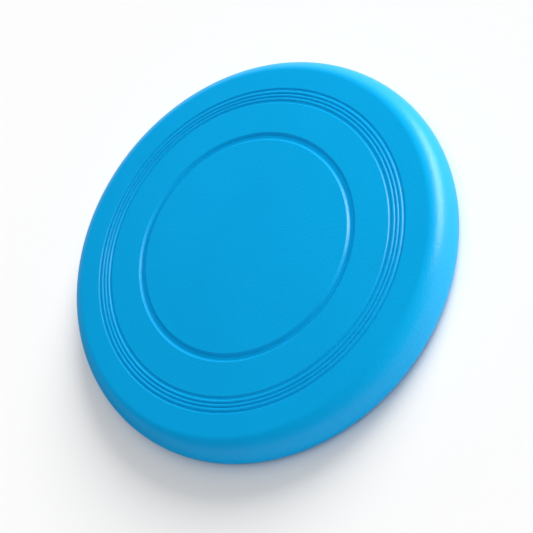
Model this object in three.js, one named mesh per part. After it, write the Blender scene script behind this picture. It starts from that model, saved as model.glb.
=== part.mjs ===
// A recreational flying disc: one injection-moulded shell of flexible polyethylene.
// A flat round plate turns over a rounded shoulder into a deep solid rim, which is hollow
// underneath for the fingers. One broad ring groove and a band of four fine flight grooves
// are moulded into the top. The disc lies flat on its rim with +Z along its axis, and the
// origin is the centre of the rim's bottom face. Lengths are in millimetres.

import * as THREE from 'three';

// Overall size
const OUTER_RADIUS = 115;
const HEIGHT = 20;
const PLATE_THICKNESS = 2.4;
const SPIN_STEPS = 72;

// Shoulder: a quarter superellipse from the flat plate out to the widest line of the rim
const SHOULDER_START = 104.2;
const WIDEST_HEIGHT = 5.2;
const SHOULDER_POWER = 1.8;
const SHOULDER_STEPS = 9;

// Lip: a quarter ellipse under the widest line, then a flat land that the disc rests on
const LAND_OUTER_RADIUS = 111;
const LAND_INNER_RADIUS = 109.8;
const LIP_STEPS = 6;

// Hollow side of the rim
const INNER_EDGE_RADIUS = 0.8;
const INNER_EDGE_STEPS = 3;
const INNER_FILLET_RADIUS = 7;
const INNER_FILLET_STEPS = 5;

// Grooves in the top: [centre radius, width, depth, width of each slanting wall]
const RING_GROOVE = [63.3, 4.8, 1.4, 1.5];
const FLIGHT_GROOVES = [
  [84.7, 2.3, 0.65, 0.65],
  [87.3, 1.45, 0.65, 0.65],
  [89.4, 1.4, 0.65, 0.65],
  [91.9, 1.9, 0.65, 0.65],
];

// Gate left by the moulding machine, in the middle of the underside
const GATE_PAD_RADIUS = 8;
const GATE_PAD_THICKNESS = 0.6;
const GATE_STUB_RADIUS = 1.5;
const GATE_STUB_LENGTH = 0.8;

const PLASTIC = { color: 0x0a9ce0, roughness: 0.42, metalness: 0 };

const at = (radius, height) => new THREE.Vector2(radius, height);

// Points along part of an ellipse about centre. Angles are in degrees, 0 points outwards and
// 90 points up. A power of 2 is a true ellipse, and a lower one is flatter between its ends.
function curve(centre, width, height, fromAngle, toAngle, steps, power = 2) {
  const points = [];
  for (let step = 0; step <= steps; step += 1) {
    const angle = THREE.MathUtils.degToRad(fromAngle + ((toAngle - fromAngle) * step) / steps);
    const across = Math.cos(angle);
    const up = Math.sin(angle);
    points.push(at(
      centre.x + width * Math.sign(across) * Math.abs(across) ** (2 / power),
      centre.y + height * Math.sign(up) * Math.abs(up) ** (2 / power),
    ));
  }
  return points;
}

// One groove: slanting walls down to a flat bed
function groove([centre, width, depth, wall]) {
  return [
    at(centre - width / 2, HEIGHT),
    at(centre - width / 2 + wall, HEIGHT - depth),
    at(centre + width / 2 - wall, HEIGHT - depth),
    at(centre + width / 2, HEIGHT),
  ];
}

// Top of the plate, from the axis to the last groove
function plateTop() {
  return [
    at(0, HEIGHT),
    ...groove(RING_GROOVE),
    ...FLIGHT_GROOVES.flatMap(groove),
  ];
}

// Outside of the rim, from the plate's edge over the shoulder and under to the land
function rimOutside() {
  const shoulder = curve(
    at(SHOULDER_START, WIDEST_HEIGHT),
    OUTER_RADIUS - SHOULDER_START,
    HEIGHT - WIDEST_HEIGHT,
    90,
    0,
    SHOULDER_STEPS,
    SHOULDER_POWER,
  );
  const lip = curve(
    at(LAND_OUTER_RADIUS, WIDEST_HEIGHT),
    OUTER_RADIUS - LAND_OUTER_RADIUS,
    WIDEST_HEIGHT,
    0,
    -90,
    LIP_STEPS,
  );
  return [...shoulder, ...lip.slice(1)];
}

// Hollow side of the rim, from the land up to the underside of the plate
function rimInside() {
  const wallRadius = LAND_INNER_RADIUS - INNER_EDGE_RADIUS;
  const edge = curve(
    at(LAND_INNER_RADIUS, INNER_EDGE_RADIUS),
    INNER_EDGE_RADIUS,
    INNER_EDGE_RADIUS,
    -90,
    -180,
    INNER_EDGE_STEPS,
  );
  const fillet = curve(
    at(wallRadius - INNER_FILLET_RADIUS, HEIGHT - PLATE_THICKNESS - INNER_FILLET_RADIUS),
    INNER_FILLET_RADIUS,
    INNER_FILLET_RADIUS,
    0,
    90,
    INNER_FILLET_STEPS,
  );
  return [...edge, ...fillet];
}

// Underside of the plate, from the rim in to the gate and the axis
function plateUnderside() {
  const padHeight = HEIGHT - PLATE_THICKNESS - GATE_PAD_THICKNESS;
  const stubHeight = padHeight - GATE_STUB_LENGTH;
  return [
    at(GATE_PAD_RADIUS, HEIGHT - PLATE_THICKNESS),
    at(GATE_PAD_RADIUS, padHeight),
    at(GATE_STUB_RADIUS, padHeight),
    at(GATE_STUB_RADIUS, stubHeight),
    at(0, stubHeight),
  ];
}

// The whole section, spun about the disc's axis
function discShell() {
  const section = [...plateTop(), ...rimOutside(), ...rimInside(), ...plateUnderside()];
  const geometry = new THREE.LatheGeometry(section.reverse(), SPIN_STEPS);
  geometry.rotateX(Math.PI / 2);
  const mesh = new THREE.Mesh(geometry, new THREE.MeshStandardMaterial(PLASTIC));
  mesh.name = 'disc_shell';
  return mesh;
}

const flyingDisc = new THREE.Group();
flyingDisc.add(discShell());

export default flyingDisc;
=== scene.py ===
"""Looks of a recreational flying disc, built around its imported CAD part.

The disc is one moulded plastic shell lying flat on its rim. Its section is drawn here again with
finer curves and softened groove edges, and spun about the disc's axis, +Z. Lengths are in metres.
"""

import math

import bpy
from mathutils import Matrix, Vector


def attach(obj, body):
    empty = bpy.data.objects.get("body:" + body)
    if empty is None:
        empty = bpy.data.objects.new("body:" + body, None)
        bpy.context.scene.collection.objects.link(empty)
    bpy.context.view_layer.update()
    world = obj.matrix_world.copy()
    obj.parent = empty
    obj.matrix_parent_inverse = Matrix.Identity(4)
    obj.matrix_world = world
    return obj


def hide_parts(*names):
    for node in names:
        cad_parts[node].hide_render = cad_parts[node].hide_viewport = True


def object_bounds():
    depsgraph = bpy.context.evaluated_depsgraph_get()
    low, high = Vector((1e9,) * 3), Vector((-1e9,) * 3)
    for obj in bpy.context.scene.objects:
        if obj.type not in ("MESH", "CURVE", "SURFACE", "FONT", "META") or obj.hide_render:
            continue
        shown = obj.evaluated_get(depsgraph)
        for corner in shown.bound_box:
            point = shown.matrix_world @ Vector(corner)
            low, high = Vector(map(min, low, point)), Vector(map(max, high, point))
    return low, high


MM = 0.001

# Section of the shell, as in the CAD part
PLATE_THICKNESS = 2.4 * MM
SHOULDER_START = 104.2 * MM
WIDEST_HEIGHT = 5.2 * MM
SHOULDER_POWER = 1.8
LAND_OUTER_RADIUS = 111 * MM
LAND_INNER_RADIUS = 109.8 * MM
INNER_EDGE_RADIUS = 0.8 * MM
INNER_FILLET_RADIUS = 7 * MM
GATE_PAD_RADIUS = 8 * MM
GATE_PAD_THICKNESS = 0.6 * MM
GATE_STUB_RADIUS = 1.5 * MM
GATE_STUB_LENGTH = 0.8 * MM
GATE_ROUNDING = 0.25 * MM

# Grooves in the top: centre radius, width, depth and width of each slanting wall. The share of a
# wall's width that is rounded off at its top, and again at its bottom, is WALL_ROUNDING
RING_GROOVE = (63.3 * MM, 4.8 * MM, 1.4 * MM, 1.5 * MM)
FLIGHT_GROOVES = (
    (84.7 * MM, 2.3 * MM, 0.65 * MM, 0.65 * MM),
    (87.3 * MM, 1.45 * MM, 0.65 * MM, 0.65 * MM),
    (89.4 * MM, 1.4 * MM, 0.65 * MM, 0.65 * MM),
    (91.9 * MM, 1.9 * MM, 0.65 * MM, 0.65 * MM),
)
WALL_ROUNDING = 0.1

# Fineness of the mesh. Edges sharper than SHARP_ANGLE degrees aren't smoothed over
SPIN_STEPS = 288
GROOVE_STEPS = 8
LONG_RUN = 1 * MM
EDGE_SUPPORT = 0.12 * MM
SHOULDER_STEPS = 30
LIP_STEPS = 14
INNER_EDGE_STEPS = 5
INNER_FILLET_STEPS = 12
GATE_ROUNDING_STEPS = 4
SHARP_ANGLE = 40

# Plastic: size of the moulded grain, of slightly duller patches and of the dye's flow marks
IOR = 1.5
GRAIN_SIZE = 1.0 * MM
GRAIN_RELIEF = 0.045 * MM
GRAIN_DETAIL = 1
WEAR_SIZE = 6 * MM
WEAR_DETAIL = 3
ROUGHNESS = (0.31, 0.35)
FLOW_SIZE = 45 * MM
FLOW_DETAIL = 2
DEEP_BLUE = (0.0026, 0.367, 0.78)
PALE_BLUE = (0.0026, 0.381, 0.805)

# Part of a noise texture's output that is spread over the wanted range
NOISE_SPREAD = (0.3, 0.7)

# Sheen: how slanting the view is, from 0 to 1, and the strength of reflections there
SHEEN_SLANT = (0.2, 0.7)
SHEEN_STRENGTH = (0.5, 0.15)

# Camera, by the point it looks at on the plate, its direction, distance and roll
LENS_MM = 73.5
CAMERA_AIM_OFFSET = Vector((-1.92, -22.1, 0)) * MM
CAMERA_AZIMUTH = 0.33
CAMERA_ELEVATION = 54.57
CAMERA_ROLL = -53.2
CAMERA_DISTANCE = 567 * MM

# Studio: walls up to WALL_TOP degrees and dark ceiling from CEILING_EDGE degrees. The walls and
# the backdrop under the horizon each have a brightness on their dark side and their bright side
WALL_TOP = 11
CEILING_EDGE = 22
BRIGHT_SIDE = (1.0, 0.3, 0.0)
SIDE_BLEND = 0.4
HORIZON_BLEND = (-0.02, -0.12)
WALLS = (0.2, 0.85)
BACKDROP = (0.0, 0.8)

# White floor
FLOOR_REACH = 6.0
FLOOR_BRIGHTNESS = 0.9
FLOOR_ROUGHNESS = 0.8

# Key: azimuth and elevation, distance, size, roll, watts and colour
KEY_DIRECTION = (-14, 13)
KEY_DISTANCE = 0.9
KEY_SIZE = (0.9, 0.32)
KEY_ROLL = -32
KEY_WATTS = 7.2
KEY_COLOUR = (1.0, 1.0, 0.8)

# Fills: azimuth, elevation and watts. Floor washes: azimuth, elevation, spread and strength
FILL_DISTANCE = 1.0
FILL_SIZE = (0.8, 0.8)
FILLS = ((26, 42, 7.15), (180, 20, 2.8), (270, 20, 3.5), (270, 50, 1.6), (90, 20, 3.2))
FLOOR_WASHES = ((18, 22, 34, 3.9), (0, 75, 90, 1.9))

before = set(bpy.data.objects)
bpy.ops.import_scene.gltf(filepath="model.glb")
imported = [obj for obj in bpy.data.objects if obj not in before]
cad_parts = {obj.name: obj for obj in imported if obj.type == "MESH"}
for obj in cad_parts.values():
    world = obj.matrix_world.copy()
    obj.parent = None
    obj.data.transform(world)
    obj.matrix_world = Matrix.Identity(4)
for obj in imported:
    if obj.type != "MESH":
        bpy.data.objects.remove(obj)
cad_low, cad_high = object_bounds()
OUTER_RADIUS = cad_high.x
HEIGHT = cad_high.z


def curve(centre, width, height, from_angle, to_angle, steps, power=2.0):
    """Points along part of an ellipse; an angle of 0 points outwards and 90 degrees up."""
    points = []
    for step in range(steps + 1):
        angle = math.radians(from_angle + (to_angle - from_angle) * step / steps)
        across = math.cos(angle)
        up = math.sin(angle)
        radius = centre[0] + width * math.copysign(abs(across) ** (2 / power), across)
        level = centre[1] + height * math.copysign(abs(up) ** (2 / power), up)
        points.append((radius, level))
    return points


def eased(share):
    """Wall that drops evenly but for a short round edge at its top and bottom; 0 to 1 gives 0 to 1."""
    ease = WALL_ROUNDING
    slope = 1 / (1 - ease)
    if share < ease:
        return slope * share * share / (2 * ease)
    if share > 1 - ease:
        return 1 - slope * (1 - share) * (1 - share) / (2 * ease)
    return slope * (share - ease / 2)


def groove(centre, width, depth, wall):
    """One groove from its inner to its outer edge: two eased walls and a flat bed."""
    inner = centre - width / 2
    outer = centre + width / 2
    steps = [step / GROOVE_STEPS for step in range(GROOVE_STEPS + 1)]
    down = [(inner + share * wall, HEIGHT - depth * eased(share)) for share in steps]
    rise = [(outer - share * wall, HEIGHT - depth * eased(share)) for share in reversed(steps)]
    return down + rise


def plate_top():
    """Top of the plate, from the axis to the last groove."""
    points = [(0.0, HEIGHT)] + groove(*RING_GROOVE)
    for ring in FLIGHT_GROOVES:
        points += groove(*ring)
    return points


def rim_outside():
    """Outside of the rim, over the shoulder and round the lip to the land."""
    shoulder = curve(
        (SHOULDER_START, WIDEST_HEIGHT),
        OUTER_RADIUS - SHOULDER_START,
        HEIGHT - WIDEST_HEIGHT,
        90,
        0,
        SHOULDER_STEPS,
        SHOULDER_POWER,
    )
    lip = curve(
        (LAND_OUTER_RADIUS, WIDEST_HEIGHT),
        OUTER_RADIUS - LAND_OUTER_RADIUS,
        WIDEST_HEIGHT,
        0,
        -90,
        LIP_STEPS,
    )
    return shoulder + lip[1:]


def rim_inside():
    """Hollow side of the rim, from the land up to the underside of the plate."""
    wall_radius = LAND_INNER_RADIUS - INNER_EDGE_RADIUS
    edge = curve(
        (LAND_INNER_RADIUS, INNER_EDGE_RADIUS),
        INNER_EDGE_RADIUS,
        INNER_EDGE_RADIUS,
        -90,
        -180,
        INNER_EDGE_STEPS,
    )
    fillet = curve(
        (wall_radius - INNER_FILLET_RADIUS, HEIGHT - PLATE_THICKNESS - INNER_FILLET_RADIUS),
        INNER_FILLET_RADIUS,
        INNER_FILLET_RADIUS,
        0,
        90,
        INNER_FILLET_STEPS,
    )
    return edge + fillet


def gate_edge(radius, level):
    """Rounded lower edge of the gate's pad or stub."""
    centre = (radius - GATE_ROUNDING, level + GATE_ROUNDING)
    return curve(centre, GATE_ROUNDING, GATE_ROUNDING, 0, -90, GATE_ROUNDING_STEPS)


def plate_underside():
    """Flat underside, then the gate's round pad and the stub on it."""
    plate_level = HEIGHT - PLATE_THICKNESS
    pad_level = plate_level - GATE_PAD_THICKNESS
    stub_level = pad_level - GATE_STUB_LENGTH
    pad = [(GATE_PAD_RADIUS, plate_level)] + gate_edge(GATE_PAD_RADIUS, pad_level)
    stub = [(GATE_STUB_RADIUS, pad_level)] + gate_edge(GATE_STUB_RADIUS, stub_level)
    return pad + stub + [(0.0, stub_level)]


def with_supports(section):
    """Add a point near each end of every long straight run, so that its face shades flat."""
    points = [section[0]]
    for start, end in zip(section, section[1:]):
        length = math.dist(start, end)
        if length > LONG_RUN:
            along = Vector(end) - Vector(start)
            points.append(tuple(Vector(start) + along * (EDGE_SUPPORT / length)))
            points.append(tuple(Vector(end) - along * (EDGE_SUPPORT / length)))
        points.append(end)
    return points


def spin(name, section):
    """Closed mesh from a section whose first and last points lie on the axis."""
    rings = section[1:-1]
    verts = [(0.0, 0.0, section[0][1])]
    for radius, level in rings:
        for step in range(SPIN_STEPS):
            angle = 2 * math.pi * step / SPIN_STEPS
            verts.append((radius * math.cos(angle), radius * math.sin(angle), level))
    verts.append((0.0, 0.0, section[-1][1]))
    last = len(verts) - 1
    faces = []
    for step in range(SPIN_STEPS):
        after = (step + 1) % SPIN_STEPS
        faces.append((0, 1 + step, 1 + after))
        for ring in range(len(rings) - 1):
            here = 1 + ring * SPIN_STEPS
            below = here + SPIN_STEPS
            faces.append((here + step, below + step, below + after, here + after))
        end = 1 + (len(rings) - 1) * SPIN_STEPS
        faces.append((end + step, last, end + after))
    mesh = bpy.data.meshes.new(name)
    mesh.from_pydata(verts, [], faces)
    mesh.shade_smooth()
    mesh.set_sharp_from_angle(angle=math.radians(SHARP_ANGLE))
    obj = bpy.data.objects.new(name, mesh)
    bpy.context.scene.collection.objects.link(obj)
    return obj


def add_node(tree, kind, **inputs):
    """New node with the given input values, or links to other nodes' outputs."""
    node = tree.nodes.new(kind)
    for name, value in inputs.items():
        socket = node.inputs[name.replace("_", " ")]
        if isinstance(value, bpy.types.NodeSocket):
            tree.links.new(value, socket)
        else:
            socket.default_value = value
    return node


def map_range(tree, value, start, end, low, high, kind="LINEAR"):
    """Value that goes from low at start to high at end, and no further."""
    node = add_node(
        tree,
        "ShaderNodeMapRange",
        Value=value,
        From_Min=start,
        From_Max=end,
        To_Min=low,
        To_Max=high,
    )
    node.interpolation_type = kind
    return node.outputs["Result"]


def noise_between(tree, size, detail, low, high):
    """Value that wanders between low and high over patches of about the given size."""
    place = add_node(tree, "ShaderNodeTexCoord").outputs["Object"]
    noise = add_node(tree, "ShaderNodeTexNoise", Vector=place, Scale=1 / size, Detail=detail)
    return map_range(tree, noise.outputs["Fac"], *NOISE_SPREAD, low, high)


def satin_sheen(tree):
    """Reflection strength that weakens where the surface is seen at a slant, as on moulded grain."""
    slant = add_node(tree, "ShaderNodeLayerWeight", Blend=0.5).outputs["Facing"]
    return map_range(tree, slant, *SHEEN_SLANT, *SHEEN_STRENGTH)


def plastic_material():
    """Satin moulded plastic: dyed blue with faint flow marks, and a fine grain from the mould."""
    mat = bpy.data.materials.new("blue_plastic")
    mat.use_nodes = True
    tree = mat.node_tree
    shader = tree.nodes["Principled BSDF"]
    shader.inputs["IOR"].default_value = IOR
    tree.links.new(satin_sheen(tree), shader.inputs["Specular IOR Level"])
    wear = noise_between(tree, WEAR_SIZE, WEAR_DETAIL, *ROUGHNESS)
    tree.links.new(wear, shader.inputs["Roughness"])

    dye = tree.nodes.new("ShaderNodeMix")
    dye.data_type = "RGBA"
    dye.inputs["A"].default_value = (*DEEP_BLUE, 1)
    dye.inputs["B"].default_value = (*PALE_BLUE, 1)
    tree.links.new(noise_between(tree, FLOW_SIZE, FLOW_DETAIL, 0, 1), dye.inputs["Factor"])
    tree.links.new(dye.outputs["Result"], shader.inputs["Base Color"])

    relief = noise_between(tree, GRAIN_SIZE, GRAIN_DETAIL, 0, GRAIN_RELIEF)
    grain = add_node(tree, "ShaderNodeBump", Distance=1.0, Height=relief)
    tree.links.new(grain.outputs["Normal"], shader.inputs["Normal"])
    return mat


def add_camera():
    """Camera looking down at the plate from the -Y side, rolled about its view."""
    aim = Vector((0, 0, HEIGHT)) + CAMERA_AIM_OFFSET
    azimuth = math.radians(CAMERA_AZIMUTH)
    elevation = math.radians(CAMERA_ELEVATION)
    back = Vector((
        math.sin(azimuth) * math.cos(elevation),
        -math.cos(azimuth) * math.cos(elevation),
        math.sin(elevation),
    ))
    data = bpy.data.cameras.new("camera")
    data.lens = LENS_MM
    camera = bpy.data.objects.new("camera", data)
    camera.location = aim + back * CAMERA_DISTANCE
    level = (-back).to_track_quat("-Z", "Y").to_matrix().to_4x4()
    roll = Matrix.Rotation(math.radians(CAMERA_ROLL), 4, "Z")
    camera.rotation_euler = (level @ roll).to_euler()
    bpy.context.scene.collection.objects.link(camera)
    bpy.context.scene.camera = camera


def add_floor():
    """White floor, which reflections don't show."""
    reach = FLOOR_REACH
    corners = [(-reach, -reach, 0), (reach, -reach, 0), (reach, reach, 0), (-reach, reach, 0)]
    mesh = bpy.data.meshes.new("floor")
    mesh.from_pydata(corners, [], [(0, 1, 2, 3)])
    floor = bpy.data.objects.new("floor", mesh)
    bpy.context.scene.collection.objects.link(floor)
    mat = bpy.data.materials.new("floor")
    mat.use_nodes = True
    shader = mat.node_tree.nodes["Principled BSDF"]
    shader.inputs["Base Color"].default_value = (*[FLOOR_BRIGHTNESS] * 3, 1)
    shader.inputs["Roughness"].default_value = FLOOR_ROUGHNESS
    shader.inputs["Specular IOR Level"].default_value = 0.0
    floor.data.materials.append(mat)
    floor.visible_glossy = False
    return floor


def towards(azimuth, elevation):
    """Unit vector from the disc; azimuth is measured in degrees from +X towards +Y."""
    turn = math.radians(azimuth)
    rise = math.radians(elevation)
    return Vector((math.cos(turn) * math.cos(rise), math.sin(turn) * math.cos(rise), math.sin(rise)))


def hang_light(data, azimuth, elevation, distance, lit):
    """Aim a light at the disc, and let it light only the object lit."""
    away = towards(azimuth, elevation)
    light = bpy.data.objects.new(data.name, data)
    light.location = away * distance
    light.rotation_euler = (-away).to_track_quat("-Z", "Y").to_euler()
    light.visible_camera = False
    bpy.context.scene.collection.objects.link(light)
    receivers = bpy.data.collections.new(data.name + "_lit")
    receivers.objects.link(lit)
    light.light_linking.receiver_collection = receivers
    return light


def add_softbox(name, azimuth, elevation, distance, size, power, lit):
    """Flat rectangular light."""
    data = bpy.data.lights.new(name, "AREA")
    data.shape = "RECTANGLE"
    data.size = size[0]
    data.size_y = size[1]
    data.energy = power
    return hang_light(data, azimuth, elevation, distance, lit)


def add_floor_wash(azimuth, elevation, spread, strength, floor):
    """Even light on the floor, in which the disc casts a soft shadow."""
    data = bpy.data.lights.new("floor_wash", "SUN")
    data.angle = math.radians(spread)
    data.energy = strength
    return hang_light(data, azimuth, elevation, 1.0, floor)


def blend(tree, factor, low, high):
    """Mix of two values."""
    mix = add_node(tree, "ShaderNodeMix", Factor=factor, A=low, B=high)
    return mix.outputs["Result"]


def add_world():
    """Studio walls that are brighter on one side, under a dark ceiling.

    Below the horizon there's a backdrop that is dark on the other side. The floor hides it from
    the camera but isn't itself mirrored, so the rim mirrors the backdrop.
    """
    world = bpy.data.worlds.new("studio")
    world.use_nodes = True
    tree = world.node_tree
    direction = add_node(tree, "ShaderNodeTexCoord").outputs["Generated"]
    height = add_node(tree, "ShaderNodeSeparateXYZ", Vector=direction).outputs["Z"]
    towards_bright = tree.nodes.new("ShaderNodeVectorMath")
    towards_bright.operation = "DOT_PRODUCT"
    towards_bright.inputs[1].default_value = BRIGHT_SIDE
    tree.links.new(direction, towards_bright.inputs[0])
    facing = towards_bright.outputs["Value"]
    side = map_range(tree, facing, -SIDE_BLEND, SIDE_BLEND, 0, 1, "SMOOTHSTEP")
    below = map_range(tree, height, *HORIZON_BLEND, 0, 1, "SMOOTHSTEP")
    room = blend(tree, below, blend(tree, side, *WALLS), blend(tree, side, *BACKDROP))
    wall_top = math.sin(math.radians(WALL_TOP))
    ceiling_edge = math.sin(math.radians(CEILING_EDGE))
    open_part = map_range(tree, height, wall_top, ceiling_edge, 1, 0, "SMOOTHSTEP")
    background = tree.nodes["Background"]
    background.inputs["Color"].default_value = (1, 1, 1, 1)
    tree.links.new(blend(tree, open_part, 0.0, room), background.inputs["Strength"])
    world.cycles.sampling_method = "NONE"
    bpy.context.scene.world = world


def soften_only(light):
    """The light brightens surfaces but leaves no reflection in them."""
    light.visible_glossy = False
    light.data.cycles.use_multiple_importance_sampling = False


section = plate_top() + rim_outside() + rim_inside() + plate_underside()
disc = spin("disc", with_supports(section))
disc.data.materials.append(plastic_material())
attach(disc, "root")
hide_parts("disc_shell")

add_camera()
add_world()
floor = add_floor()
for wash in FLOOR_WASHES:
    add_floor_wash(*wash, floor)
key = add_softbox("key", *KEY_DIRECTION, KEY_DISTANCE, KEY_SIZE, KEY_WATTS, disc)
key.rotation_euler.rotate_axis("Z", math.radians(KEY_ROLL))
key.data.color = KEY_COLOUR
for azimuth, elevation, power in FILLS:
    soften_only(add_softbox("fill", azimuth, elevation, FILL_DISTANCE, FILL_SIZE, power, disc))

bpy.context.scene.view_settings.view_transform = "Standard"
